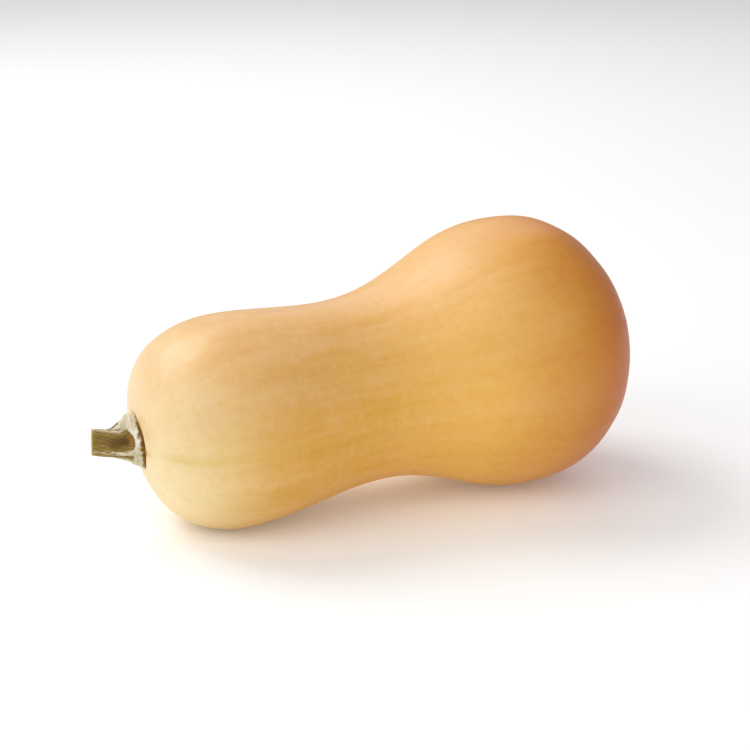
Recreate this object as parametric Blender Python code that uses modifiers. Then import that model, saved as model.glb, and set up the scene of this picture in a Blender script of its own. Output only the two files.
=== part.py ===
"""Butternut squash lying on its side: the fruit and its woody stem.

Metres, +Z up. The long axis runs along X, with the stem end towards -X. The fruit lies on two
natural ground spots, one under the neck and one under the belly, and the origin is on the floor
under the middle of the whole squash.

Both parts are first made in the fruit's own frame, where x runs along the axis from the stem end
at 0 to the blossom end, and are then laid down together by the empty that carries them.
"""
import math

import bmesh
import bpy
import numpy as np

MM = 0.001

# Fruit: length, and the radii at stations spaced evenly in angle from stem end to blossom end
FRUIT_LENGTH = 226.5 * MM
STATION_RADII = [radius * MM for radius in (27.1, 42.1, 46.3, 42.4, 42.5, 55.5, 60.1, 50.4, 28.0)]
PROFILE_POINTS = 41
TURN_STEPS = 48

# How far grown fruit strays from a turned one
BOW = -0.85 * MM             # sideways bow of the axis, at mid-length
DROOP = 1.45 * MM            # sag of the axis between its ends
LIFT = -1.0 * MM             # rise of one half of the axis against the other
OVAL = 0.010                 # two-sided flattening, as a share of the radius
THREE_SIDED = 0.006          # three-sided flattening, as a share of the radius

# Hollows that the stem and the blossom scar sit in
STEM_HOLLOW_DEPTH = 1.5 * MM
STEM_HOLLOW_WIDTH = 13.0 * MM
BLOSSOM_HOLLOW_DEPTH = 2.2 * MM
BLOSSOM_HOLLOW_WIDTH = 9.0 * MM

# Lying pose: where the stem end is, and how far the blossom end is tipped up
STEM_END = (-102.38 * MM, 0.6 * MM, 41.3 * MM)
TIP_UP = math.radians(6.58)

# Floor cutter, which leaves the ground spots
CUTTER_SIZE = (300.0 * MM, 160.0 * MM, 20.0 * MM)

# Stem
SEAT_GAP = 0.35 * MM         # clearance between the stem's foot and the fruit
STEM_LENGTH = 20.5 * MM
SHAFT_RADIUS = 5.8 * MM      # at the cut end
SHAFT_TAPER = 0.5 * MM       # gained from the cut end to the foot
FOOT_RADIUS = 11.0 * MM
FOOT_EDGE = 0.8 * MM         # radius of the foot's rounded edge
FOOT_EDGE_ANGLES = (-90.0, -45.0, 0.0, 40.0)     # where its rings are, in degrees round that edge
UNDERSIDE_SHARES = (0.35, 0.7)                   # the underside's rings, as shares of its radius
FLARE_HEIGHT = 2.9 * MM      # height over which the foot's flare falls away
SHAFT_RINGS = 12
SHAFT_CROWDING = 1.5         # above 1, the shaft's rings crowd towards the flare
CUT_EDGE = 0.4 * MM          # rounding of the cut end
CUT_HOLLOW = 0.9 * MM        # how far the cut face has shrunk in at its centre
CUT_RING = (0.5, 0.7)        # the face's ring: shares of the radius and of the hollow
RIDGES = 5
RIDGE_SHARE_SHAFT = 0.05     # ridge height as a share of the radius
RIDGE_SHARE_FOOT = 0.10
RIDGE_TURN = math.radians(14)
BEND_START = 2.0 * MM
BEND_END = 10.0 * MM
LEAN_SIDE = math.radians(17)
LEAN_UP = math.radians(14.5)
STEM_SIDES = 40
PATH_POINTS = 85


def clear_scene():
    for scene_object in list(bpy.data.objects):
        bpy.data.objects.remove(scene_object, do_unlink=True)


def new_collection(name):
    collection = bpy.data.collections.new(name)
    bpy.context.scene.collection.children.link(collection)
    return collection


def plain_material(name, colour, roughness):
    material = bpy.data.materials.new(name)
    material.use_nodes = True
    shader = material.node_tree.nodes["Principled BSDF"]
    shader.inputs["Base Color"].default_value = (*colour, 1.0)
    shader.inputs["Roughness"].default_value = roughness
    shader.inputs["Metallic"].default_value = 0.0
    return material


def smooth_step(value, low, high):
    """0 below low, 1 above high, and a smooth rise between."""
    share = np.clip((value - low) / (high - low), 0.0, 1.0)
    return share * share * (3.0 - 2.0 * share)


def turned_radius(angle):
    """Radius at a station angle, 0 at the stem end and pi at the blossom end.

    It is the periodic cubic spline through the station radii and their mirrored copy, which makes
    both ends close round.
    """
    wave = np.concatenate([[0.0], STATION_RADII, [0.0], -np.array(STATION_RADII[::-1])])
    count = len(wave)
    own = np.eye(count)
    weights = np.linalg.solve((4.0 * own + np.roll(own, 1, 0) + np.roll(own, -1, 0)) / 6.0, wave)
    place = np.asarray(angle) / (2.0 * np.pi) * count
    left = np.floor(place).astype(int)
    share = place - left
    basis = (
        (1.0 - share) ** 3 / 6.0,
        (3.0 * share ** 3 - 6.0 * share ** 2 + 4.0) / 6.0,
        (-3.0 * share ** 3 + 3.0 * share ** 2 + 3.0 * share + 1.0) / 6.0,
        share ** 3 / 6.0,
    )
    return sum(part * weights[(left + step - 1) % count] for step, part in enumerate(basis))


def fruit_outline(angle):
    """Distance along the axis and radius at a station angle, with both end hollows."""
    radius = turned_radius(angle)
    along = FRUIT_LENGTH / 2.0 * (1.0 - np.cos(angle))
    stem_side = np.asarray(angle) < np.pi / 2.0
    stem_hollow = STEM_HOLLOW_DEPTH * np.exp(-((radius / STEM_HOLLOW_WIDTH) ** 2))
    blossom_hollow = BLOSSOM_HOLLOW_DEPTH * np.exp(-((radius / BLOSSOM_HOLLOW_WIDTH) ** 2))
    return along + np.where(stem_side, stem_hollow, -blossom_hollow), radius


def grown(points):
    """Moves points of the turned fruit to where they are on the grown one."""
    along, across, height = points.T
    share = np.clip(along / FRUIT_LENGTH, 0.0, 1.0)
    swing = 2.0 * share - 1.0
    radius = np.hypot(across, height)
    turn = np.arctan2(height, across)
    oval = OVAL * np.cos(2.0 * turn - 1.1 + 2.0 * share)
    three_sided = THREE_SIDED * np.cos(3.0 * turn + 0.7 - 3.0 * share)
    radius = radius * (1.0 + oval + three_sided)
    side_shift = BOW * 4.0 * share * (1.0 - share)
    height_shift = -DROOP * (1.0 - swing ** 4) + LIFT * swing * (1.0 - swing ** 2)
    return np.stack([along, side_shift + radius * np.cos(turn), height_shift + radius * np.sin(turn)], 1)


def turned_mesh():
    """The fruit as turned: half its outline, from blossom end to stem end, swept round X."""
    along, radius = fruit_outline(np.linspace(np.pi, 0.0, PROFILE_POINTS))
    radius[0] = 0.0
    radius[-1] = 0.0
    outline = bpy.data.meshes.new("fruit_outline")
    corners = [(x, y, 0.0) for x, y in zip(along, radius)]
    outline.from_pydata(corners, [(i, i + 1) for i in range(PROFILE_POINTS - 1)], [])
    turner = bpy.data.objects.new("fruit_outline", outline)
    bpy.context.scene.collection.objects.link(turner)
    screw = turner.modifiers.new("turn", "SCREW")
    screw.axis = "X"
    screw.angle = 2.0 * math.pi
    screw.steps = TURN_STEPS
    screw.render_steps = TURN_STEPS
    screw.use_merge_vertices = True
    screw.merge_threshold = 0.00001
    evaluated = turner.evaluated_get(bpy.context.evaluated_depsgraph_get())
    mesh = bpy.data.meshes.new_from_object(evaluated)
    bpy.data.objects.remove(turner)
    return mesh


def make_fruit(collection, carrier, floor_cutter):
    mesh = turned_mesh()
    mesh.name = "fruit"
    flat = np.empty(len(mesh.vertices) * 3, dtype=np.float32)
    mesh.vertices.foreach_get("co", flat)
    moved = grown(flat.reshape(-1, 3).astype(float))
    mesh.vertices.foreach_set("co", moved.astype(np.float32).ravel())
    mesh.update()
    mesh.shade_smooth()
    mesh.materials.append(plain_material("skin", (0.78, 0.47, 0.19), 0.42))
    fruit = bpy.data.objects.new("fruit", mesh)
    collection.objects.link(fruit)
    fruit.parent = carrier
    ground = fruit.modifiers.new("ground_spots", "BOOLEAN")
    ground.operation = "DIFFERENCE"
    ground.solver = "EXACT"
    ground.object = floor_cutter


def make_floor_cutter(collection):
    bpy.ops.mesh.primitive_cube_add(size=1.0, location=(0.0, 0.0, -CUTTER_SIZE[2] / 2.0))
    cutter = bpy.context.object
    cutter.name = "floor_cutter"
    cutter.scale = CUTTER_SIZE
    for home in list(cutter.users_collection):
        home.objects.unlink(cutter)
    collection.objects.link(cutter)
    cutter.hide_render = True
    cutter.display_type = "WIRE"
    return cutter


def seat_along(radius):
    """Where the fruit's stem end lies along the axis at a radius from it."""
    along, own_radius = fruit_outline(np.linspace(0.0, np.pi / 8.0, 200))
    return np.interp(radius, own_radius, along)


def stem_path():
    """Path from the foot to the cut end: heights, points and the two lean angles at each."""
    height = np.linspace(0.0, STEM_LENGTH, PATH_POINTS)
    bend = smooth_step(height, BEND_START, BEND_END)
    side = LEAN_SIDE * bend
    up = LEAN_UP * bend
    heading = np.stack([-np.cos(side) * np.cos(up), np.sin(side) * np.cos(up), np.sin(up)], 1)
    steps = (heading[1:] + heading[:-1]) / 2.0 * (STEM_LENGTH / (PATH_POINTS - 1))
    return height, np.concatenate([[[0.0, 0.0, 0.0]], np.cumsum(steps, 0)]), side, up


def stem_ring(path, height, mean_radius, ridge_share):
    """One ring of the stem: a five-ridged section square to the path, sunk to the fruit at the foot."""
    heights, points, sides, ups = path
    centre = np.array([np.interp(height, heights, points[:, axis]) for axis in range(3)])
    side = np.interp(height, heights, sides)
    up = np.interp(height, heights, ups)
    turn = np.linspace(0.0, 2.0 * np.pi, STEM_SIDES, endpoint=False)
    radius = mean_radius * (1.0 + ridge_share * np.cos(RIDGES * (turn - RIDGE_TURN)))
    across = np.array([np.sin(side), np.cos(side), 0.0])
    above = np.array([np.cos(side) * np.sin(up), -np.sin(side) * np.sin(up), np.cos(up)])
    ring = centre + np.outer(radius * np.cos(turn), across) + np.outer(radius * np.sin(turn), above)
    sink = 1.0 - smooth_step(height, BEND_START, BEND_END)
    ring[:, 0] += (seat_along(radius) - SEAT_GAP) * sink + (seat_along(0.0) - SEAT_GAP) * (1.0 - sink)
    return ring


def stem_rings():
    """Rings from the middle of the foot's underside, over its edge and up to the cut face."""
    path = stem_path()
    rings = []
    for share in UNDERSIDE_SHARES:
        rings.append(stem_ring(path, 0.0, FOOT_RADIUS * share, RIDGE_SHARE_FOOT))
    edge_middle = FOOT_RADIUS - FOOT_EDGE
    for angle in np.radians(FOOT_EDGE_ANGLES):
        height = FOOT_EDGE * (1.0 + math.sin(angle))
        rings.append(stem_ring(path, height, edge_middle + FOOT_EDGE * math.cos(angle), RIDGE_SHARE_FOOT))
    start = height
    edge_radius = edge_middle + FOOT_EDGE * math.cos(angle)
    shaft_top = STEM_LENGTH - CUT_EDGE
    for share in np.linspace(0.0, 1.0, SHAFT_RINGS + 1)[1:]:
        height = start + (shaft_top - start) * share ** SHAFT_CROWDING
        shaft = SHAFT_RADIUS + SHAFT_TAPER * (1.0 - height / STEM_LENGTH)
        fade = math.exp(-(height - start) / FLARE_HEIGHT)
        ridge_share = RIDGE_SHARE_SHAFT + (RIDGE_SHARE_FOOT - RIDGE_SHARE_SHAFT) * fade
        rings.append(stem_ring(path, height, shaft + (edge_radius - shaft) * fade, ridge_share))
    rings.append(stem_ring(path, STEM_LENGTH, SHAFT_RADIUS - CUT_EDGE, RIDGE_SHARE_SHAFT))
    face_height = STEM_LENGTH - CUT_HOLLOW * CUT_RING[1]
    rings.append(stem_ring(path, face_height, SHAFT_RADIUS * CUT_RING[0], RIDGE_SHARE_SHAFT))
    return rings, path


def make_stem(collection, carrier):
    """Lofts the rings into one closed body, with a fan of faces at each end."""
    rings, path = stem_rings()
    loft = bmesh.new()
    loops = [[loft.verts.new(point) for point in ring] for ring in rings]
    foot_middle = loft.verts.new(stem_ring(path, 0.0, 0.0, 0.0)[0])
    cut_middle = loft.verts.new(stem_ring(path, STEM_LENGTH - CUT_HOLLOW, 0.0, 0.0)[0])
    for i in range(STEM_SIDES):
        j = (i + 1) % STEM_SIDES
        loft.faces.new((foot_middle, loops[0][i], loops[0][j]))
        for lower, upper in zip(loops[:-1], loops[1:]):
            loft.faces.new((lower[i], upper[i], upper[j], lower[j]))
        loft.faces.new((cut_middle, loops[-1][j], loops[-1][i]))
    bmesh.ops.recalc_face_normals(loft, faces=loft.faces)
    mesh = bpy.data.meshes.new("stem")
    loft.to_mesh(mesh)
    loft.free()
    mesh.shade_smooth()
    mesh.set_sharp_from_angle(angle=math.radians(50))
    mesh.materials.append(plain_material("stem", (0.30, 0.25, 0.12), 0.75))
    stem = bpy.data.objects.new("stem", mesh)
    collection.objects.link(stem)
    stem.parent = carrier


def make_carrier(collection):
    """The empty that lays the squash down: at the stem end, with X along the fruit's axis."""
    carrier = bpy.data.objects.new("squash_axis", None)
    carrier.location = STEM_END
    carrier.rotation_euler = (0.0, -TIP_UP, 0.0)
    collection.objects.link(carrier)
    return carrier


def main():
    clear_scene()
    squash = new_collection("butternut_squash")
    cutters = new_collection("cutters")
    carrier = make_carrier(squash)
    make_fruit(squash, carrier, make_floor_cutter(cutters))
    make_stem(squash, carrier)
    bpy.context.view_layer.update()


main()
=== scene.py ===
import math

import bpy
import numpy as np
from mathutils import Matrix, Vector


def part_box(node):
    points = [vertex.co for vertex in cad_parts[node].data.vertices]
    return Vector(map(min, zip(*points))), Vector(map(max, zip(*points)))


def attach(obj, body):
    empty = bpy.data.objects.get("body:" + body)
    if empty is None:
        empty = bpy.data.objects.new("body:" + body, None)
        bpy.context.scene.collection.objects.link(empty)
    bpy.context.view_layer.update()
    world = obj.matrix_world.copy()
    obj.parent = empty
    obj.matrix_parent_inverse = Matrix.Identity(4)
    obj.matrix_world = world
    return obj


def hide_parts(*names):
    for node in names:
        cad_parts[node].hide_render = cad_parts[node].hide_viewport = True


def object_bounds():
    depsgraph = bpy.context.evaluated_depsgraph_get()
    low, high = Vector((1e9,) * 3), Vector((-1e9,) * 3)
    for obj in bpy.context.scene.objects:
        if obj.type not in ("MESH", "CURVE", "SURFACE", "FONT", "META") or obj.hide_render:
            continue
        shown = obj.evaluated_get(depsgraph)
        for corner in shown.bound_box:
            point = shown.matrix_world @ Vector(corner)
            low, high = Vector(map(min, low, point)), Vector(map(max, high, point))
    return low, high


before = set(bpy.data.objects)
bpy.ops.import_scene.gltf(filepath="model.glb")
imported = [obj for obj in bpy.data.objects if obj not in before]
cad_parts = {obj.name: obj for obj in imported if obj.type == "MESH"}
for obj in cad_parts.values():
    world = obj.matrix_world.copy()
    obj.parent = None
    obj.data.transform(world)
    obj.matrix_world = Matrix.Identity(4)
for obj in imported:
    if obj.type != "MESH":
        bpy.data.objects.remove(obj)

bl_info = {
    "name": "Butternut Squash",
    "version": (1, 0, 0),
    "blender": (4, 5, 0),
    "location": "View3D > Sidebar > Squash",
    "description": "Grows the skin and the stem of a butternut squash, in a plain studio",
    "category": "Add Mesh",
}

CAD_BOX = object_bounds()
FRUIT_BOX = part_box("fruit")

# The squash is worked out in millimetres in the fruit's own frame, where x runs along its axis from
# the stem end at 0 to the blossom end, and is then tipped up and set down where the frame's fruit is.
MM = 0.001
FRUIT_LENGTH = 226.5
STATION_RADII = (27.1, 42.1, 46.3, 42.4, 42.5, 55.5, 60.1, 50.4, 28.0)
BOW = -0.85                      # sideways shift of the axis in its middle
DROOP = 1.45                     # how far the middle sinks below the ends
LIFT = -1.0                      # rise of the axis's blossom half against its stem half
OVAL = 0.010                     # share of the radius by which the section is oval
THREE_SIDED = 0.006              # and by which it is three-sided
STEM_HOLLOW = (1.5, 13.0)        # depth and width
BLOSSOM_HOLLOW = (2.2, 9.0)
TIP_UP = math.radians(6.58)

END_PACKING = 0.45               # how much the skin's rings crowd towards its two ends
RIB_COUNT = 10
RIB_REACH = 40.0                 # distance from the stem end over which they fade
DENT_STRETCH = (0.6, 1.0, 1.0)
DENT_LENGTHS = (60.0, 18.0)      # the longest and the shortest
LIP = (0.45, 1.6, 1.9)           # height, distance beyond the stem's foot, and width
SCAR_RISE = 1.1                  # of the corky button at the blossom end
SCAR_RADIUS = 3.4
FAR_OFF = 50.0                   # painted at the far end of a mark, where it must not show
GRAIN_RADIUS = 45.0              # of the straight roll that the streaks are laid on
BLOOM_AND_SHEEN_SIDE = math.radians(88)    # where the top of the skin is painted paler: partly a waxy bloom, partly painted sheen of the light from above
BLOOM_AND_SHEEN_SHARE = 0.6                # how much of the peel colour it covers there
OPEN_SIDE = math.radians(165)    # where the painted shade in the crevice round the stem's foot is narrowest
FAINT_VEINS = (0.14, 22.0)       # strength, and how far they reach from the stem end
MAIN_VEIN = (0.42, 70.0, 3.0)    # the same, and its width
GREEN_EDGE = (0.12, 1.2)         # strength and reach, all round the stem's foot
# Patches at the stem's foot: direction in degrees, how narrow each is, and how far it reaches
GREEN_PATCHES = ((120, 90.0, 3.0), (136, 90.0, 2.2), (188, 70.0, 4.5), (300, 60.0, 2.5))

STEM_LENGTH = 20.5
SHAFT_RADIUS = 4.95              # in its grooves, at the cut end
SHAFT_TAPER = 0.35
RIDGE_RISE = 0.7
RIDGE_NARROWNESS = 7.0           # divided by each ridge's own spread
GROOVE_DEPTHS = (0.25, 0.65)     # all along, and how much more at the deepest place
GROOVE_DEEPEST = (5.2, 2.6)      # its height and width
# In a groove, and how much more on a ridge and on the upper lobe
FLARE_HEIGHT = (3.4, 2.0, 6.2)
FLARE_POWER = (4.2, -1.6, 2.0)   # a high one ends the flare sharply
STEM_TWIST = 0.010               # radians for each millimetre
CUT_SLANT = 0.10                 # how much the cut leans out at the top
CUT_EDGE = 0.35                  # rounding of the cut's edge
CUT_WEAR = 0.75                  # how far the cut face has shrunk in
FOOT_RADIUS = 10.4
FOOT_EDGE = 0.6                  # rounding of the foot's edge
FOOT_SINK = 0.15                 # how deep the foot sits in the skin
FOOT_TAPER = (0.35, 2.5)         # how much it narrows for each millimetre, and up to which height
BEND = (2.0, 10.0)               # heights between which the stem turns aside
LEAN_SIDE = math.radians(17)
LEAN_UP = math.radians(13.0)

# Directions round the stem, in degrees as its rings count them, with each ridge's height and spread
RIDGES = ((88, 1.1, 1.2), (194, 0.95, 0.8), (250, 1.0, 1.0), (318, 0.9, 1.0), (22, 0.9, 1.0))
# Lobes of the foot, in the same way: direction, how far each stands out, and how narrow it is
FOOT_LOBES = ((72, 2.1, 7.0), (192, -1.6, 4.0), (222, -0.8, 9.0), (252, 1.5, 14.0), (318, 0.9, 8.0),
              (20, 0.5, 8.0))
TOP_LOBE = math.radians(72)
LOW_LOBE = math.radians(252)     # where the foot's brown edge and the painted shade along it are narrowest
LENS = math.radians(92)          # the smooth hollow in the upper lobe
LENS_DEPTH = 0.25
LENS_PLACE = (6.3, 2.2)          # its height and width
CORK_RELIEF = 0.13

# Colours of the peel's pattern, over the bands that the skin's settings give
# Pale top: partly a waxy bloom, partly painted sheen of the light from above
BLOOM_AND_SHEEN = (0.80, 0.50, 0.29)
PALE_STREAK = (0.96, 0.74, 0.46)
DARK_STREAK = (0.93, 0.84, 0.68)
PEACH_PATCH = (0.94, 0.60, 0.38)
DULL_PATCH = (0.92, 0.86, 0.66)
PINK_MOTTLE = (0.93, 0.57, 0.34)
DARK_FRECKLE = (0.92, 0.80, 0.58)
PALE_FLECK = (0.97, 0.74, 0.50)
PALE_SPECK = (0.95, 0.78, 0.52)
VEIN_GREEN = (0.62, 0.46, 0.035)
SCAR_RING = (0.50, 0.20, 0.04)
SCAR_CORK = (0.36, 0.20, 0.075)
# Painted shade in the crevice round the stem's foot: a brown rim, then near black
CREVICE_SHADE_RIM = (0.50, 0.33, 0.08)
CREVICE_SHADE = (0.07, 0.030, 0.008)

# Colours of the stem's pattern, round the bark and the cork that its settings give
DARK_FIBRE = (0.075, 0.032, 0.003)
OLIVE_FIBRE = (0.38, 0.27, 0.045)
GOLDEN_FIBRE = (0.46, 0.37, 0.10)
BROWN_STREAK = (0.11, 0.050, 0.005)
GROOVE_BROWN = (0.105, 0.042, 0.003)
GROOVE_END = (0.42, 0.19, 0.012)
GREEN_CORK = (0.46, 0.42, 0.20)
PINK_CORK = (0.86, 0.76, 0.62)
WHITE_RIM = (0.88, 0.84, 0.74)
LENS_GREY = (0.60, 0.49, 0.40)
DARK_RUST = (0.12, 0.045, 0.006)
RUST = (0.31, 0.125, 0.014)
# Painted shade where the stem's foot meets the skin, brown and then near black
FOOT_SHADE = (0.10, 0.036, 0.006)
FOOT_DEEP_SHADE = (0.06, 0.025, 0.008)
CUT_YELLOW = (0.52, 0.44, 0.10)
CUT_FACE = ((0.0, (0.22, 0.15, 0.05)), (0.35, (0.42, 0.32, 0.14)), (0.75, (0.50, 0.42, 0.16)),
            (0.95, (0.62, 0.58, 0.26)))      # from its middle out


def smooth_step(value, low, high):
    """0 below low, 1 above high, and 3 s^2 - 2 s^3 of the share s between."""
    share = np.clip((value - low) / (high - low), 0.0, 1.0)
    return share * share * (3.0 - 2.0 * share)


def bell(value, middle, width):
    """exp of minus the squared distance from middle, counted in widths."""
    return np.exp(-(((value - middle) / width) ** 2))


def round_bell(turn, middle, sharpness):
    """A bell on the circle: exp of sharpness times (cos of the angle from middle, minus 1)."""
    return np.exp(sharpness * (np.cos(turn - middle) - 1.0))


def soft_waves(points, longest, shortest, count, seed):
    """Smooth random relief: the sum of count plane waves in random directions, scaled to about 1."""
    chance = np.random.default_rng(seed)
    total = np.zeros(points.shape[:-1])
    for _ in range(count):
        heading = chance.normal(size=3)
        heading /= np.linalg.norm(heading)
        length = np.exp(chance.uniform(np.log(shortest), np.log(longest)))
        total += np.sin(points @ heading * (2.0 * np.pi / length) + chance.uniform(0.0, 2.0 * np.pi))
    return total * math.sqrt(2.0 / count)


def closed_mesh(name, rings, first_pole, last_pole, inwards):
    """A closed surface: each ring joins the next all the way round, and a fan closes each end."""
    rows, columns, _ = rings.shape
    points = np.concatenate([[first_pole], rings.reshape(-1, 3), [last_pole]])
    here = 1 + np.arange(rows * columns).reshape(rows, columns)
    ahead = np.roll(here, -1, 1)
    quads = np.stack([here[:-1], ahead[:-1], ahead[1:], here[1:]], -1).reshape(-1, 4)
    first = np.stack([np.zeros(columns, int), ahead[0], here[0]], -1)
    last = np.stack([np.full(columns, len(points) - 1), here[-1], ahead[-1]], -1)
    faces = [face[::-1] if inwards else face for part in (quads, first, last) for face in part.tolist()]
    mesh = bpy.data.meshes.new(name)
    mesh.from_pydata((points * MM).tolist(), [], faces)
    mesh.shade_smooth()
    return mesh


def paint(mesh, name, values, first, last):
    """Keeps a number for each point of a closed mesh, such as how green the skin is there."""
    flat = np.concatenate([[first], np.asarray(values, float).ravel(), [last]])
    attribute = mesh.attributes.new(name, "FLOAT", "POINT")
    attribute.data.foreach_set("value", flat.astype(np.float32))


def paint_vector(mesh, name, values, first, last):
    """Keeps a place for each point of a closed mesh, for patterns that follow its surface."""
    flat = np.concatenate([[first], values.reshape(-1, 3), [last]])
    attribute = mesh.attributes.new(name, "FLOAT_VECTOR", "POINT")
    attribute.data.foreach_set("vector", flat.astype(np.float32).ravel())


def add_piece(name, mesh, material, node):
    """Puts a piece in the scene, in place of a CAD node, with its material and the slot it fills."""
    piece = bpy.data.objects.new(name, mesh)
    bpy.context.scene.collection.objects.link(piece)
    mesh.materials.append(material)
    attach(piece, "root")
    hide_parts(node)


# ---- shape of the fruit ----


def turned_radius(angle):
    """Radius at a station angle, 0 at the stem end and pi at the blossom end.

    It is the periodic cubic spline through the station radii and their mirrored copy, which makes
    both ends close round.
    """
    wave = np.concatenate([[0.0], STATION_RADII, [0.0], -np.array(STATION_RADII[::-1])])
    count = len(wave)
    own = np.eye(count)
    weights = np.linalg.solve((4.0 * own + np.roll(own, 1, 0) + np.roll(own, -1, 0)) / 6.0, wave)
    place = np.asarray(angle) / (2.0 * np.pi) * count
    left = np.floor(place).astype(int)
    share = place - left
    basis = (
        (1.0 - share) ** 3 / 6.0,
        (3.0 * share ** 3 - 6.0 * share ** 2 + 4.0) / 6.0,
        (-3.0 * share ** 3 + 3.0 * share ** 2 + 3.0 * share + 1.0) / 6.0,
        share ** 3 / 6.0,
    )
    return sum(part * weights[(left + step - 1) % count] for step, part in enumerate(basis))


def fruit_outline(angle):
    """Distance along the axis and radius at a station angle, with both end hollows."""
    radius = turned_radius(angle)
    along = FRUIT_LENGTH / 2.0 * (1.0 - np.cos(angle))
    stem_hollow = STEM_HOLLOW[0] * bell(radius, 0.0, STEM_HOLLOW[1])
    blossom_hollow = BLOSSOM_HOLLOW[0] * bell(radius, 0.0, BLOSSOM_HOLLOW[1])
    return along + np.where(np.asarray(angle) < np.pi / 2.0, stem_hollow, -blossom_hollow), radius


def grown(along, radius, turn):
    """Points of the grown fruit: the turned one made a little oval, bowed and drooping."""
    share = np.clip(along / FRUIT_LENGTH, 0.0, 1.0)
    swing = 2.0 * share - 1.0
    oval = OVAL * np.cos(2.0 * turn - 1.1 + 2.0 * share)
    three_sided = THREE_SIDED * np.cos(3.0 * turn + 0.7 - 3.0 * share)
    radius = radius * (1.0 + oval + three_sided)
    side_shift = BOW * 4.0 * share * (1.0 - share)
    height_shift = -DROOP * (1.0 - swing ** 4) + LIFT * swing * (1.0 - swing ** 2)
    across = side_shift + radius * np.cos(turn)
    return np.stack(np.broadcast_arrays(along, across, height_shift + radius * np.sin(turn)), -1)


def tipped(points):
    """Turns points of the fruit's own frame so that the blossom end is tipped up."""
    x, y, z = np.moveaxis(points, -1, 0)
    cos, sin = math.cos(TIP_UP), math.sin(TIP_UP)
    return np.stack([x * cos - z * sin, y, x * sin + z * cos], -1)


def stem_end():
    """Where the frame holds the stem end of the fruit's axis: the fruit's box against its own shape's."""
    angle, turn = np.meshgrid(np.linspace(0.0, np.pi, 400), np.linspace(0.0, 2.0 * np.pi, 360))
    own = tipped(grown(*fruit_outline(angle), turn)).reshape(-1, 3)
    low, high = (np.array(corner) / MM for corner in FRUIT_BOX)
    middle = (low + high) / 2.0 - (own.min(0) + own.max(0)) / 2.0
    return np.array([middle[0], middle[1], high[2] - own[:, 2].max()])


STEM_END = stem_end()


def set_down(points):
    """Points of the fruit's own frame, in the frame's place, in millimetres."""
    return tipped(points) + STEM_END


def foot_radius(turn):
    """Radius of the stem's foot round it: its own, its lobes, and some unevenness."""
    lobes = sum(rise * round_bell(turn, math.radians(middle), sharp) for middle, rise, sharp in FOOT_LOBES)
    uneven = 0.12 * np.sin(2.0 * turn + 0.8) + 0.14 * np.sin(7.0 * turn + 2.0) + 0.09 * np.sin(13.0 * turn)
    return FOOT_RADIUS + lobes + uneven


class SkinSettings(bpy.types.PropertyGroup):
    rings: bpy.props.IntProperty(
        name="Rings", description="Rings of points from end to end", default=300, min=40, max=320)
    points: bpy.props.IntProperty(
        name="Points", description="Points in each ring", default=310, min=40, max=320)
    relief: bpy.props.FloatProperty(
        name="Relief", description="Height of the soft dents and swellings", default=0.22 * MM,
        min=0.0, max=1.0 * MM, unit="LENGTH", precision=5)
    ribs: bpy.props.FloatProperty(
        name="Ribs", description="Height of the ten faint ribs at the stem end", default=0.2 * MM,
        min=0.0, max=1.0 * MM, unit="LENGTH", precision=5)
    # Pale partly as the neck's own colour, partly as a painted highlight of the key light there
    neck_colour_and_highlight: bpy.props.FloatVectorProperty(
        name="Neck", description="Peel colour at the stem end", subtype="COLOR", size=3,
        min=0.0, max=1.0, default=(0.93, 0.79, 0.47))
    shoulder_colour: bpy.props.FloatVectorProperty(
        name="Shoulder", description="Peel colour where the neck rounds off", subtype="COLOR", size=3,
        min=0.0, max=1.0, default=(0.83, 0.555, 0.19))
    waist_colour: bpy.props.FloatVectorProperty(
        name="Waist", description="Peel colour of the neck and the waist", subtype="COLOR", size=3,
        min=0.0, max=1.0, default=(0.75, 0.38, 0.028))
    belly_colour: bpy.props.FloatVectorProperty(
        name="Belly", description="Peel colour on the belly", subtype="COLOR", size=3,
        min=0.0, max=1.0, default=(0.89, 0.485, 0.070))
    # Deep partly as the peel's own colour, partly as painted shade on the end that faces away from the lights
    blossom_colour_and_shade: bpy.props.FloatVectorProperty(
        name="Blossom end", description="Peel colour at the blossom end", subtype="COLOR", size=3,
        min=0.0, max=1.0, default=(0.52, 0.102, 0.002))
    roughness: bpy.props.FloatProperty(
        name="Roughness", description="How dull the waxy peel is", subtype="FACTOR",
        default=0.43, min=0.0, max=1.0)


class StemSettings(bpy.types.PropertyGroup):
    rings: bpy.props.IntProperty(
        name="Rings", description="Rings of points from foot to cut end", default=270, min=40, max=300)
    points: bpy.props.IntProperty(
        name="Points", description="Points in each ring", default=330, min=40, max=340)
    fibres: bpy.props.FloatProperty(
        name="Fibres", description="Height of the fine lengthwise fibres", default=0.07 * MM,
        min=0.0, max=0.5 * MM, unit="LENGTH", precision=5)
    bark_colour: bpy.props.FloatVectorProperty(
        name="Bark", description="Olive brown of the shaft", subtype="COLOR", size=3,
        min=0.0, max=1.0, default=(0.28, 0.165, 0.020))
    cork_colour: bpy.props.FloatVectorProperty(
        name="Cork", description="Pale grey cork of the ridges and the foot", subtype="COLOR", size=3,
        min=0.0, max=1.0, default=(0.66, 0.60, 0.42))


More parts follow.
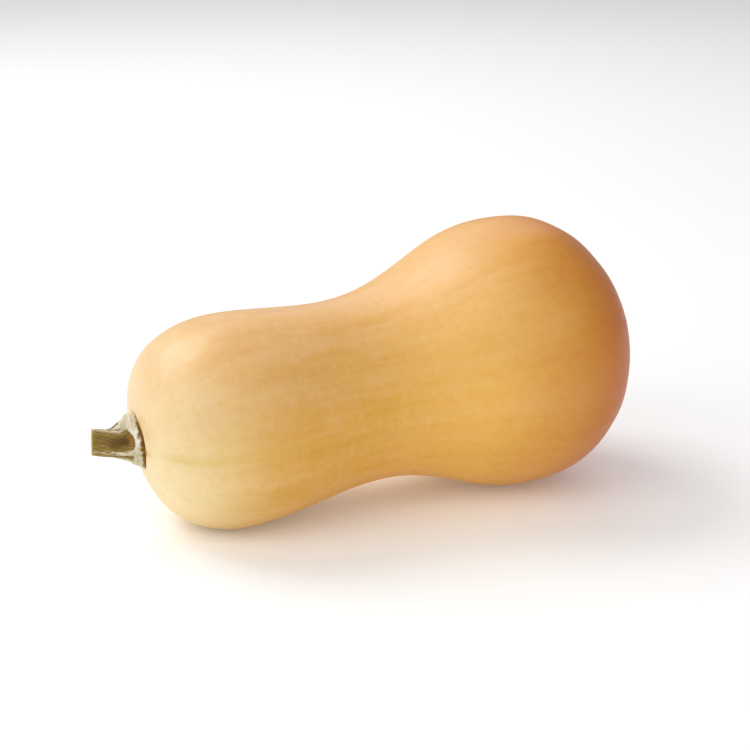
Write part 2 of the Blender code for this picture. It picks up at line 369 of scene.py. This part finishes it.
class StudioSettings(bpy.types.PropertyGroup):
    floor_colour: bpy.props.FloatVectorProperty(
        name="Floor", description="Pale floor", subtype="COLOR", size=3,
        min=0.0, max=1.0, default=(0.93, 0.93, 0.93))
    floor_glow: bpy.props.FloatProperty(
        name="Floor glow", description="Light of the floor's own, which keeps its shadows faint",
        default=0.12, min=0.0, max=1.0)
    sky: bpy.props.FloatProperty(
        name="Sky", description="Strength of the even light from all round", default=0.42, min=0.0, max=5.0)
    key_power: bpy.props.FloatProperty(
        name="Key light", description="Power of the window light, high on the left and behind",
        default=8.9, min=0.0, max=200.0, unit="POWER")
    side_power: bpy.props.FloatProperty(
        name="Side light", description="Power of the soft light on the left in front",
        default=4.3, min=0.0, max=200.0, unit="POWER")
    fill_power: bpy.props.FloatProperty(
        name="Fill lights", description="Power of each weak light in front, on the right and behind",
        default=1.65, min=0.0, max=200.0, unit="POWER")
    lens: bpy.props.FloatProperty(
        name="Lens", description="Focal length", default=100.0, min=20.0, max=300.0, unit="CAMERA")


# ---- node helpers ----


class Finish:
    """Builds one material's nodes: each method adds a node and gives its output."""

    def __init__(self, name):
        self.material = bpy.data.materials.new(name)
        self.material.use_nodes = True
        self.tree = self.material.node_tree
        self.shader = self.tree.nodes["Principled BSDF"]

    def node(self, kind, inputs, **settings):
        made = self.tree.nodes.new(kind)
        for key, value in settings.items():
            setattr(made, key, value)
        for key, value in inputs.items():
            self.feed(made.inputs[key], value)
        return made

    def feed(self, socket, value):
        if isinstance(value, bpy.types.NodeSocket):
            self.tree.links.new(value, socket)
        elif isinstance(value, (tuple, list)) and len(value) == 3 and socket.type == "RGBA":
            socket.default_value = (*value, 1.0)
        else:
            socket.default_value = value

    def painted(self, name):
        return self.node("ShaderNodeAttribute", {}, attribute_name=name).outputs["Fac"]

    def painted_place(self, name):
        return self.node("ShaderNodeAttribute", {}, attribute_name=name).outputs["Vector"]

    def place(self):
        return self.node("ShaderNodeTexCoord", {}).outputs["Object"]

    def stretched(self, vector, scale):
        return self.node("ShaderNodeMapping", {"Vector": vector, "Scale": scale}).outputs["Vector"]

    def noise(self, vector, scale, detail=3.0, roughness=0.5):
        inputs = {"Vector": vector, "Scale": scale, "Detail": detail, "Roughness": roughness}
        return self.node("ShaderNodeTexNoise", inputs).outputs["Fac"]

    def cells(self, vector, scale):
        return self.node("ShaderNodeTexVoronoi", {"Vector": vector, "Scale": scale}).outputs["Distance"]

    def maths(self, kind, *values):
        return self.node("ShaderNodeMath", dict(enumerate(values)), operation=kind).outputs["Value"]

    def span(self, value, low, high, to_low=0.0, to_high=1.0):
        inputs = {"Value": value, 1: low, 2: high, 3: to_low, 4: to_high}
        made = self.node("ShaderNodeMapRange", inputs, interpolation_type="SMOOTHSTEP")
        return made.outputs["Result"]

    def blend(self, share, first, second, kind="MIX"):
        made = self.node("ShaderNodeMix", {}, data_type="RGBA", blend_type=kind)
        for socket, value in ((0, share), (6, first), (7, second)):
            self.feed(made.inputs[socket], value)
        return made.outputs[2]

    def tint(self, base, value, low, high, share, colour, kind="MIX"):
        """Blends a colour into the base, from none at low to a share at high."""
        return self.blend(self.span(value, low, high, 0.0, share), base, colour, kind)

    def fading_tint(self, base, fade, value, low, high, share, colour):
        """The same, times how much of it is left."""
        left = self.maths("MULTIPLY", fade, self.span(value, low, high, 0.0, share))
        return self.blend(left, base, colour)

    def ragged(self, name, noise, swing):
        """A painted value that a noise moves up and down by a swing, so that its edges wander."""
        return self.maths("ADD", self.painted(name), self.span(noise, 0.3, 0.7, -swing, swing))

    def bands(self, value, stops):
        made = self.node("ShaderNodeValToRGB", {"Fac": value})
        made.color_ramp.interpolation = "B_SPLINE"
        points = made.color_ramp.elements
        while len(points) < len(stops):
            points.new(0.5)
        for point, (position, colour) in zip(points, stops):
            point.position = position
            point.color = (*colour, 1.0)
        return made.outputs["Color"]

    def bump(self, height, distance, strength, under=None):
        inputs = {"Height": height, "Distance": distance, "Strength": strength}
        if under is not None:
            inputs["Normal"] = under
        return self.node("ShaderNodeBump", inputs).outputs["Normal"]

    def give(self, **inputs):
        for key, value in inputs.items():
            self.feed(self.shader.inputs[key.replace("_", " ")], value)


# ---- skin ----


def skin_points(settings):
    """The skin: the grown outline swept round, with ribs, dents, a lip round the stem and a scar.

    The rows run over the station angle a = pi (t - p sin(2 pi t) / 2 pi), where p packs them towards
    the two ends, and the columns over the turn round the axis.
    """
    step = (np.arange(settings.rings) + 0.5) / settings.rings
    angle = (np.pi * (step - END_PACKING * np.sin(2.0 * np.pi * step) / (2.0 * np.pi)))[:, None]
    turn = np.linspace(0.0, 2.0 * np.pi, settings.points, endpoint=False)[None]
    along, radius = fruit_outline(angle)
    at_stem = angle < np.pi / 2.0
    ribs = np.cos(RIB_COUNT * turn) * np.exp(-along / RIB_REACH) * smooth_step(radius, 12.0, 30.0)
    dents = soft_waves(grown(along, radius, turn) * DENT_STRETCH, *DENT_LENGTHS, count=30, seed=5)
    dents = dents * smooth_step(radius, 5.0, 25.0)
    height = settings.ribs / MM * ribs + settings.relief / MM * dents
    lip_rise, lip_out, lip_width = LIP
    lip = np.where(at_stem, lip_rise * bell(radius, foot_radius(turn) + lip_out, lip_width), 0.0)
    pucker = np.cos(5.0 * turn + 0.6) + 0.5 * np.cos(11.0 * turn)
    scar = SCAR_RISE * np.exp(-((radius / SCAR_RADIUS) ** 4)) + 0.22 * pucker * bell(radius, 5.0, 2.2)
    scar = np.where(at_stem, 0.0, scar)
    points = grown(along - lip + scar, radius + height, turn)
    return points, along, radius, turn, at_stem


def rest_on_floor(points):
    """Flattens what would dip through the floor: z becomes (z + sqrt(z^2 + s^2)) / 2, s the softness."""
    softness = 0.25
    height = points[..., 2]
    points[..., 2] = (height + np.sqrt(height ** 2 + softness ** 2)) / 2.0
    return points


def greenness(along, radius, turn):
    """How green the skin is: faint veins down the ribs, a main one, and patches at the stem's foot.

    A vein is a bell across a wavering line down the fruit, times exp of minus the distance from the stem
    end over its reach. A patch is a bell round the foot, times the same of the distance beyond it.
    """
    waver = 0.05 * np.sin(along / 17.0) + 0.03 * np.sin(along / 7.0 + 1.0)
    faint, faint_reach = FAINT_VEINS
    line = turn - np.pi + waver / 2.0
    veins = faint * round_bell(RIB_COUNT * line, 0.0, 1.6) * np.exp(-along / faint_reach)
    main, main_reach, main_width = MAIN_VEIN
    aside = np.angle(np.exp(1j * (turn - np.pi + waver * 0.6))) * radius
    veins = veins + main * bell(aside, 0.0, main_width) * np.exp(-along / main_reach)
    veins = veins * smooth_step(radius, 12.0, 34.0)
    beyond = np.maximum(radius - foot_radius(turn) - 0.5, 0.0)
    patches = sum(round_bell(turn, math.radians(middle), sharp) * np.exp(-beyond / reach)
                  for middle, sharp, reach in GREEN_PATCHES)
    edge, edge_reach = GREEN_EDGE
    green = veins + patches + edge * np.exp(-beyond / edge_reach)
    return np.where(along < FRUIT_LENGTH / 2.0, green, 0.0)


def peel_bands(finish, settings, along, place):
    """Peel colour from the stem end to the blossom end, in soft bands whose edges drift a little. The pale
    neck is partly painted highlight, and the deep blossom end is partly painted shade.
    """
    drift = finish.maths("MULTIPLY_ADD", finish.noise(place, 14.0, 2.0), 0.16, -0.08)
    return finish.bands(finish.maths("ADD", along, drift), (
        (0.0, settings.neck_colour_and_highlight), (0.11, settings.shoulder_colour), (0.23, settings.waist_colour),
        (0.40, settings.waist_colour), (0.55, settings.belly_colour), (0.68, settings.belly_colour),
        (0.90, settings.blossom_colour_and_shade), (1.0, settings.blossom_colour_and_shade)))


def peel_pattern(finish, base, along, place, grain, streak, mottle):
    """Bloom and painted sheen on the top side, lengthwise streaks, broad patches, mottling and freckles; pale
    ones fade down the fruit.
    """
    broad = finish.noise(finish.stretched(grain, (75.0, 75.0, 16.0)), 1.0, 4.0, 0.62)
    # The top side is painted paler, partly as a waxy bloom and partly as painted sheen
    bloom_and_sheen = finish.maths("MULTIPLY", finish.painted("bloom_and_sheen"), finish.span(broad, 0.3, 0.7, 0.75, 1.0))
    base = finish.blend(bloom_and_sheen, base, BLOOM_AND_SHEEN)
    pale = finish.span(along, 0.90, 0.45, 0.08, 1.0)
    base = finish.fading_tint(base, pale, streak, 0.42, 0.75, 0.09, PALE_STREAK)
    base = finish.tint(base, streak, 0.5, 0.25, 0.4, DARK_STREAK, "MULTIPLY")
    base = finish.fading_tint(base, pale, broad, 0.42, 0.75, 0.12, PEACH_PATCH)
    base = finish.tint(base, broad, 0.5, 0.25, 0.35, DULL_PATCH, "MULTIPLY")
    base = finish.fading_tint(base, pale, mottle, 0.45, 0.72, 0.09, PINK_MOTTLE)
    freckle = finish.noise(place, 260.0, 4.0, 0.65)
    base = finish.tint(base, freckle, 0.54, 0.30, 0.30, DARK_FRECKLE, "MULTIPLY")
    base = finish.fading_tint(base, pale, freckle, 0.50, 0.72, 0.10, PALE_FLECK)
    return finish.tint(base, finish.cells(place, 520.0), 0.28, 0.02, 0.07, PALE_SPECK)


def peel_marks(finish, base, streak, mottle, scar):
    """Green veins and patches, the corky scar in its brown ring, and painted shade in the crevice round the
    stem's foot.
    """
    green = finish.maths("MULTIPLY", finish.painted("green"), finish.span(streak, 0.25, 0.65, 0.5, 1.0))
    base = finish.tint(base, green, 0.0, 0.9, 0.9, VEIN_GREEN)
    base = finish.tint(base, scar, 9.0, 3.6, 0.55, SCAR_RING)
    base = finish.tint(base, scar, 4.4, 3.6, 1.0, SCAR_CORK)
    # Painted shade in the crevice between the stem's foot and the skin
    crevice_shade = finish.ragged("crevice_shade_reach", mottle, 0.15)
    base = finish.tint(base, crevice_shade, 1.2, 0.3, 0.45, CREVICE_SHADE_RIM)
    return finish.tint(base, crevice_shade, 0.55, 0.2, 1.0, CREVICE_SHADE)


def skin_finish(settings):
    """Waxy peel: coloured bands under a fine pattern and marks, with pores and faint lengthwise lines."""
    finish = Finish("squash_peel")
    along = finish.painted("along")
    grain = finish.painted_place("grain")
    place = finish.place()
    streak = finish.noise(finish.stretched(grain, (330.0, 330.0, 26.0)), 1.0, 4.0, 0.65)
    mottle = finish.noise(place, 45.0, 4.0, 0.6)
    scar = finish.ragged("scar", mottle, 1.0)
    base = peel_bands(finish, settings, along, place)
    base = peel_pattern(finish, base, along, place, grain, streak, mottle)
    base = peel_marks(finish, base, streak, mottle, scar)
    lines = finish.noise(finish.stretched(grain, (500.0, 500.0, 60.0)), 1.0, 3.0, 0.6)
    surface = finish.bump(lines, 0.0005, 0.10)
    surface = finish.bump(finish.noise(place, 900.0, 3.0, 0.6), 0.0003, 0.12, surface)
    rough = finish.span(streak, 0.3, 0.7, settings.roughness - 0.04, settings.roughness + 0.06)
    rough = finish.maths("ADD", rough, finish.span(scar, 4.4, 3.6, 0.0, 0.3))
    finish.give(Base_Color=base, Roughness=rough, Normal=surface, IOR=1.38,
                Coat_Weight=0.12, Coat_Roughness=0.28)
    return finish.material


class SQUASH_OT_skin(bpy.types.Operator):
    """Grow the fruit: its skin with ribs, dents, veins and blossom scar"""
    bl_idname = "squash.skin"
    bl_label = "Grow the fruit"
    bl_options = {"REGISTER", "UNDO"}

    def execute(self, context):
        settings = context.scene.squash_skin
        points, along, radius, turn, at_stem = skin_points(settings)
        poles = np.array([[STEM_HOLLOW[0], 0.0, 0.0],
                          [FRUIT_LENGTH - BLOSSOM_HOLLOW[0] + SCAR_RISE, 0.0, 0.0]])
        rings = rest_on_floor(set_down(points))
        first, last = set_down(poles)
        mesh = closed_mesh("squash_skin", rings, first, last, inwards=False)
        shape = rings.shape[:2]
        share = along / FRUIT_LENGTH
        paint(mesh, "along", np.broadcast_to(share, shape), 0.0, 1.0)
        # Painted paler on top: partly a waxy bloom, partly painted sheen of the light from above
        bloom_and_sheen = BLOOM_AND_SHEEN_SHARE * round_bell(turn, BLOOM_AND_SHEEN_SIDE, 1.6) * smooth_step(share, 0.86, 0.62)
        paint(mesh, "bloom_and_sheen", bloom_and_sheen, 0.0, 0.0)
        paint(mesh, "green", greenness(along, radius, turn), 0.0, 0.0)
        # Painted shade in the crevice round the stem's foot, reaching further out on all but the open side
        shaded = 0.7 * (1.0 - round_bell(turn, OPEN_SIDE, 1.6))
        crevice_shade_reach = np.where(at_stem, radius - foot_radius(turn) + shaded, FAR_OFF)
        paint(mesh, "crevice_shade_reach", crevice_shade_reach, -FOOT_RADIUS, FAR_OFF)
        paint(mesh, "scar", np.broadcast_to(np.where(at_stem, FAR_OFF, radius), shape), FAR_OFF, 0.0)
        straight = np.stack(np.broadcast_arrays(
            GRAIN_RADIUS * np.cos(turn), GRAIN_RADIUS * np.sin(turn), along), -1)
        paint_vector(mesh, "grain", straight * MM, (0.0, 0.0, 0.0), (0.0, 0.0, FRUIT_LENGTH * MM))
        add_piece("squash_skin", mesh, skin_finish(settings), "fruit")
        return {"FINISHED"}


# ---- stem ----


def stem_heading(side, up):
    """The fruit's axis, outwards, turned aside and up by two angles."""
    return np.stack([-np.cos(side) * np.cos(up), np.sin(side) * np.cos(up), np.sin(up)], -1)


def stem_path(height):
    """Path of the stem and its two lean angles at each height: it leaves the fruit square, then bends.

    The angles grow by smooth steps, and the path is the sum of its headings.
    """
    fine = np.linspace(0.0, STEM_LENGTH, 400)
    bend = smooth_step(fine, *BEND)
    heading = stem_heading(LEAN_SIDE * bend, LEAN_UP * bend)
    steps = (heading[1:] + heading[:-1]) / 2.0 * (fine[1] - fine[0])
    track = np.concatenate([[[0.0, 0.0, 0.0]], np.cumsum(steps, 0)])
    bend = smooth_step(height, *BEND)
    centre = np.stack([np.interp(height, fine, part) for part in track.T], -1)
    return centre, LEAN_SIDE * bend, LEAN_UP * bend


def seat_along(radius):
    """Where the fruit's stem end lies along the axis at a radius from it."""
    along, own_radius = fruit_outline(np.linspace(0.0, np.pi / 8.0, 400))
    return np.interp(radius, own_radius, along)


def stem_rows(count):
    """Height and share of the full radius for each ring, from under the foot to inside the cut face."""
    under = np.linspace(0.05, 0.93, 24)
    edge = np.radians(np.linspace(-80.0, 50.0, 18))
    lip = np.radians(np.linspace(0.0, 80.0, 10))
    worn = np.linspace(0.94, 0.03, 34)
    edge_height = FOOT_EDGE + FOOT_EDGE * np.sin(edge)
    low = edge_height[-1] + 0.05
    top = STEM_LENGTH - CUT_EDGE
    steps = np.linspace(0.0, 1.0, count - len(under) - len(edge) - len(lip) - len(worn)) ** 1.35
    shaft = low + (top - low) * steps
    height = np.concatenate([0.0 * under, edge_height, shaft, top + CUT_EDGE * np.sin(lip),
                             np.full(len(worn), STEM_LENGTH)])
    share = np.concatenate([under, 0.95 + 0.05 * np.cos(edge), np.ones(len(shaft)),
                            0.94 + 0.06 * np.cos(lip), worn])
    on_face = np.concatenate([np.zeros(count - len(worn)), np.ones(len(worn))])
    return height[:, None], share[:, None], on_face[:, None]


def ridge_rise(turn, height):
    """Height of the ridges round the stem, 0 in a groove and about 1 on a crest, with a slight twist."""
    ridge = sum(rise * round_bell(turn - STEM_TWIST * height, math.radians(middle), RIDGE_NARROWNESS / spread)
                for middle, rise, spread in RIDGES)
    return np.clip(ridge, 0.0, 1.2)


def over_ridges(values, full, top_lobe):
    """A value in a groove, plus its changes on a ridge and on the upper lobe."""
    groove, on_ridge, on_lobe = values
    return groove + on_ridge * full + on_lobe * top_lobe


def stem_points(settings):
    """The stem: five ridges on a round shaft that flare into the lobes of a corky foot.

    At each height h the radius is the shaft's with its ridges, plus the foot's extra radius times
    exp(-(h / tall)^power). A ridge flares tall and soft; a groove ends short, at a sharp rim.
    """
    height, share, on_face = stem_rows(settings.rings)
    turn = np.linspace(0.0, 2.0 * np.pi, settings.points, endpoint=False)[None]
    ridge = ridge_rise(turn, height)
    full = np.clip(ridge, 0.0, 1.0)
    top_lobe = round_bell(turn, TOP_LOBE, 8.0)
    tall = over_ridges(FLARE_HEIGHT, full, top_lobe)
    flare = np.exp(-((height / tall) ** over_ridges(FLARE_POWER, full, top_lobe)))
    shaft = SHAFT_RADIUS + SHAFT_TAPER * (1.0 - height / STEM_LENGTH) + RIDGE_RISE * ridge
    radius = shaft - (1.0 - full) * (GROOVE_DEPTHS[0] + GROOVE_DEPTHS[1] * bell(height, *GROOVE_DEEPEST))
    inset = FOOT_TAPER[0] * np.minimum(height, FOOT_TAPER[1]) * (1.0 - top_lobe)
    radius = radius + (foot_radius(turn) - inset - radius) * flare
    straight = np.stack(np.broadcast_arrays(6.0 * np.cos(turn), 6.0 * np.sin(turn), height), -1)
    fibres = soft_waves(straight * (1.0, 1.0, 0.09), 2.2, 0.5, count=46, seed=11)
    cork = soft_waves(straight, 3.2, 0.9, count=60, seed=23)
    corky = np.clip(flare * 1.2, 0.0, 1.0) * smooth_step(height, 0.2, 1.4)
    lens = round_bell(turn, LENS, 40.0) * bell(height, *LENS_PLACE)
    radius = radius + settings.fibres / MM * fibres * (1.0 - 0.6 * corky) + CORK_RELIEF * cork * corky
    radius = (radius + 0.05 * cork - LENS_DEPTH * lens) * share
    worn = on_face * (-CUT_WEAR * (1.0 - share ** 4) + 0.10 * cork)
    slant = CUT_SLANT * radius * np.sin(turn) * smooth_step(height, 12.0, STEM_LENGTH)
    points = on_stem_path(height, radius, turn, worn + slant)
    return points, straight, stem_marks(height, share, turn, ridge, top_lobe, flare, lens)


def on_stem_path(height, radius, turn, outwards):
    """Carries rings along the bent stem, with a shift outwards, and seats the foot's on the fruit."""
    centre, side, up = stem_path(height)
    across = np.stack([np.sin(side), np.cos(side), 0.0 * side], -1)
    above = np.stack([np.cos(side) * np.sin(up), -np.sin(side) * np.sin(up), np.cos(up)], -1)
    ray = np.cos(turn)[..., None] * across + np.sin(turn)[..., None] * above
    points = centre + radius[..., None] * ray
    seated = 1.0 - smooth_step(height, *BEND)
    points[..., 0] += (seat_along(radius) + FOOT_SINK) * seated
    points[..., 0] += (seat_along(0.0) + FOOT_SINK) * (1.0 - seated)
    return points + outwards[..., None] * stem_heading(side, up)


def stem_marks(height, share, turn, ridge, top_lobe, flare, lens):
    """What the stem's finish reads: each mark's values on the rings, and at the two poles."""
    full = np.clip(ridge, 0.0, 1.0)
    crest = smooth_step(ridge, 0.72, 1.0) * (0.52 + 0.48 * np.exp(-((height / 10.0) ** 2)))
    rim = smooth_step(flare, 0.34, 0.62)
    # Height for the foot's rusty edge and its painted shade, raised on the lobes and ridges so that both are
    # narrower there
    edge = height + 1.7 * top_lobe + 0.5 * full + 0.8 * round_bell(turn, LOW_LOBE, 4.0)
    return {
        "height": (height, 0.0, STEM_LENGTH),
        "edge": (edge, 0.0, STEM_LENGTH),
        "pale": (np.clip(np.maximum(crest, rim), 0.0, 1.0), 0.0, 0.0),
        "rim": (rim * (1.0 - 0.6 * full), 0.0, 0.0),
        "groove": ((1.0 - full) * bell(height, 8.5, 9.5), 0.0, 0.0),
        "end": ((1.0 - full) * bell(height, 4.4, 1.3), 0.0, 0.0),
        "lens": (lens, 0.0, 0.0),
        "face": (share, 0.0, 0.0),
        "cut": (np.where(height > STEM_LENGTH - 0.3, 1.0, 0.0), 0.0, 1.0),
    }


def stem_bark(finish, settings, fibre, fine):
    """Olive bark in dark and golden fibres, with brown grooves that end in orange brown."""
    base = finish.bands(fibre, (
        (0.25, DARK_FIBRE), (0.42, settings.bark_colour), (0.55, OLIVE_FIBRE), (0.72, GOLDEN_FIBRE)))
    base = finish.tint(base, fine, 0.42, 0.62, 0.72, BROWN_STREAK)
    base = finish.tint(base, finish.ragged("groove", fibre, 0.25), 0.40, 0.90, 0.9, GROOVE_BROWN)
    return finish.tint(base, finish.ragged("end", fibre, 0.3), 0.1, 1.1, 0.7, GROOVE_END)


def stem_cork(finish, settings, base, pale, fine, blotch):
    """Pale blotchy cork on the ridges and the foot, with a whiter rim and the grey-pink hollow."""
    cork = finish.bands(blotch, ((0.3, GREEN_CORK), (0.5, settings.cork_colour), (0.66, PINK_CORK)))
    base = finish.tint(base, pale, 0.38, 0.85, 1.0, cork)
    base = finish.tint(base, finish.ragged("rim", fine, 0.2), 0.45, 0.85, 0.9, WHITE_RIM)
    return finish.tint(base, finish.painted("lens"), 0.15, 0.85, 0.7, LENS_GREY)


def stem_ends(finish, base, fibre, blotch):
    """The foot's rusty edge, with painted shade that darkens it where it meets the skin, and the cut end with
    its face.
    """
    edge = finish.ragged("edge", blotch, 0.5)
    rust = finish.bands(fibre, ((0.3, DARK_RUST), (0.6, RUST)))
    base = finish.tint(base, edge, 2.7, 1.6, 1.0, rust)
    # Painted shade: the edge darkens to near black where the foot meets the skin
    base = finish.tint(base, edge, 1.5, 0.5, 0.6, FOOT_SHADE)
    base = finish.tint(base, edge, 0.7, 0.2, 1.0, FOOT_DEEP_SHADE)
    base = finish.tint(base, finish.painted("height"), 19.4, 20.1, 0.7, CUT_YELLOW)
    face = finish.bands(finish.ragged("face", blotch, 0.08), CUT_FACE)
    return finish.blend(finish.painted("cut"), base, face)


def stem_finish(settings):
    """Dry stem: fibrous olive bark, pale corky ridges and rim, brown foot edge with painted shade where it
    meets the skin, and dry cut face.
    """
    finish = Finish("squash_stem_cork")
    grain = finish.painted_place("grain")
    fibre = finish.noise(finish.stretched(grain, (1.0, 1.0, 0.12)), 1.6, 4.0, 0.65)
    fine = finish.noise(finish.stretched(grain, (1.0, 1.0, 0.07)), 4.5, 3.0, 0.6)
    blotch = finish.noise(grain, 0.55, 3.0, 0.6)
    pale = finish.ragged("pale", fibre, 0.3)
    base = stem_bark(finish, settings, fibre, fine)
    base = stem_cork(finish, settings, base, pale, fine, blotch)
    base = stem_ends(finish, base, fibre, blotch)
    bumps = finish.maths("ADD", fine, finish.noise(grain, 3.0, 4.0, 0.65))
    finish.give(Base_Color=base, Roughness=finish.span(pale, 0.3, 0.8, 0.62, 0.8),
                Normal=finish.bump(bumps, 0.0004, 0.5), IOR=1.45)
    return finish.material


class SQUASH_OT_stem(bpy.types.Operator):
    """Grow the stem: five ridges, corky lobed foot, brown edge with painted shade at the skin, and dry cut
    face
    """
    bl_idname = "squash.stem"
    bl_label = "Grow the stem"
    bl_options = {"REGISTER", "UNDO"}

    def execute(self, context):
        settings = context.scene.squash_stem
        points, straight, marks = stem_points(settings)
        rings = set_down(points)
        mesh = closed_mesh("squash_stem", rings, rings[0].mean(0), rings[-1].mean(0), inwards=True)
        for name, (values, first, last) in marks.items():
            paint(mesh, name, np.broadcast_to(values, rings.shape[:2]), first, last)
        paint_vector(mesh, "grain", straight, (0.0, 0.0, 0.0), (0.0, 0.0, STEM_LENGTH))
        add_piece("squash_stem", mesh, stem_finish(settings), "stem")
        return {"FINISHED"}


# ---- studio ----

LOOK_AT = Vector((14.4, 17.8, -10.1)) * MM      # from the middle of the CAD model's box
CAMERA_DISTANCE = 0.93
CAMERA_TURN = math.radians(-23.551)              # 0 looks along +Y
CAMERA_RISE = math.radians(19.0)
FLOOR_REACH = 4.0                                # metres from the middle to each edge
LIGHT_SIZE = 0.8
LIGHT_DISTANCE = 1.3
# Each light's name, its turn from the camera's side and its rise, in degrees
LIGHTS = (("key", -120, 48), ("side", -50, 35), ("front", 0, 45), ("right", 50, 35), ("back", 180, 35))


def from_target(target, turn, rise, distance):
    """The point at a distance from the target, turn round it from straight in front and rise above."""
    return target + distance * Vector((
        math.sin(turn) * math.cos(rise), -math.cos(turn) * math.cos(rise), math.sin(rise)))


def add_light(name, target, turn, rise, power):
    """A square soft light that faces the target, turned round it from the camera's side."""
    lamp = bpy.data.lights.new(name, "AREA")
    lamp.shape = "SQUARE"
    lamp.size = LIGHT_SIZE
    lamp.energy = power
    light = bpy.data.objects.new(name, lamp)
    light.location = from_target(target, CAMERA_TURN + math.radians(turn), math.radians(rise), LIGHT_DISTANCE)
    light.rotation_euler = (light.location - target).to_track_quat("Z", "Y").to_euler()
    bpy.context.scene.collection.objects.link(light)


def add_floor(settings):
    """A square pale floor, with a faint unevenness in its finish."""
    finish = Finish("studio_floor")
    cloud = finish.noise(finish.place(), 3.0, 2.0)
    finish.give(Base_Color=tuple(settings.floor_colour), Roughness=finish.span(cloud, 0.3, 0.7, 0.75, 0.85),
                Emission_Color=(1.0, 1.0, 1.0), Emission_Strength=settings.floor_glow)
    mesh = bpy.data.meshes.new("studio_floor")
    corners = [(FLOOR_REACH * x, FLOOR_REACH * y, 0.0) for x, y in ((-1, -1), (1, -1), (1, 1), (-1, 1))]
    mesh.from_pydata(corners, [], [(0, 1, 2, 3)])
    mesh.materials.append(finish.material)
    floor = bpy.data.objects.new("studio_floor", mesh)
    bpy.context.scene.collection.objects.link(floor)


def add_camera(settings, target):
    """A camera that looks at the target from above, in front and a little towards the stem's side."""
    camera = bpy.data.objects.new("camera", bpy.data.cameras.new("camera"))
    camera.data.lens = settings.lens
    camera.data.sensor_width = 36.0
    camera.data.clip_end = 30.0
    camera.location = from_target(target, CAMERA_TURN, CAMERA_RISE, CAMERA_DISTANCE)
    camera.rotation_euler = (math.pi / 2.0 - CAMERA_RISE, 0.0, CAMERA_TURN)
    bpy.context.scene.collection.objects.link(camera)
    bpy.context.scene.camera = camera


def add_sky(strength):
    """An even light from all round, which the camera sees as a white backdrop."""
    world = bpy.data.worlds.new("studio_sky")
    world.use_nodes = True
    backdrop = world.node_tree.nodes["Background"]
    backdrop.inputs["Color"].default_value = (1.0, 1.0, 1.0, 1.0)
    rays = world.node_tree.nodes.new("ShaderNodeLightPath")
    shown = world.node_tree.nodes.new("ShaderNodeMapRange")
    shown.inputs["To Min"].default_value = strength
    shown.inputs["To Max"].default_value = 1.0
    world.node_tree.links.new(rays.outputs["Is Camera Ray"], shown.inputs["Value"])
    world.node_tree.links.new(shown.outputs["Result"], backdrop.inputs["Strength"])
    bpy.context.scene.world = world


class SQUASH_OT_studio(bpy.types.Operator):
    """Set the pale floor, the soft lights and the camera"""
    bl_idname = "squash.studio"
    bl_label = "Set up the studio"
    bl_options = {"REGISTER", "UNDO"}

    def execute(self, context):
        settings = context.scene.squash_studio
        low, high = (Vector(corner) for corner in CAD_BOX)
        target = (low + high) / 2.0 + LOOK_AT
        add_floor(settings)
        add_camera(settings, target)
        add_sky(settings.sky)
        powers = {"key": settings.key_power, "side": settings.side_power}
        for name, turn, rise in LIGHTS:
            add_light(name + "_light", target, turn, rise, powers.get(name, settings.fill_power))
        context.scene.view_settings.view_transform = "Standard"
        return {"FINISHED"}


class SQUASH_PT_panel(bpy.types.Panel):
    """Lists what makes the squash and its studio"""
    bl_idname = "SQUASH_PT_panel"
    bl_label = "Butternut Squash"
    bl_space_type = "VIEW_3D"
    bl_region_type = "UI"
    bl_category = "Squash"

    def draw(self, context):
        groups = (("squash.skin", "squash_skin"), ("squash.stem", "squash_stem"),
                  ("squash.studio", "squash_studio"))
        for operator, group in groups:
            box = self.layout.box()
            settings = getattr(context.scene, group)
            for key in settings.__annotations__:
                box.prop(settings, key)
            box.operator(operator)


GROUPS = (("squash_skin", SkinSettings), ("squash_stem", StemSettings), ("squash_studio", StudioSettings))
CLASSES = (SkinSettings, StemSettings, StudioSettings, SQUASH_OT_skin, SQUASH_OT_stem, SQUASH_OT_studio,
           SQUASH_PT_panel)


def register():
    for made in CLASSES:
        bpy.utils.register_class(made)
    for name, group in GROUPS:
        setattr(bpy.types.Scene, name, bpy.props.PointerProperty(type=group))


def unregister():
    for name, _ in GROUPS:
        delattr(bpy.types.Scene, name)
    for made in reversed(CLASSES):
        bpy.utils.unregister_class(made)


def main():
    register()
    bpy.ops.squash.skin()
    bpy.ops.squash.stem()
    bpy.ops.squash.studio()
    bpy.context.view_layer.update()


if __name__ == "__main__":
    main()
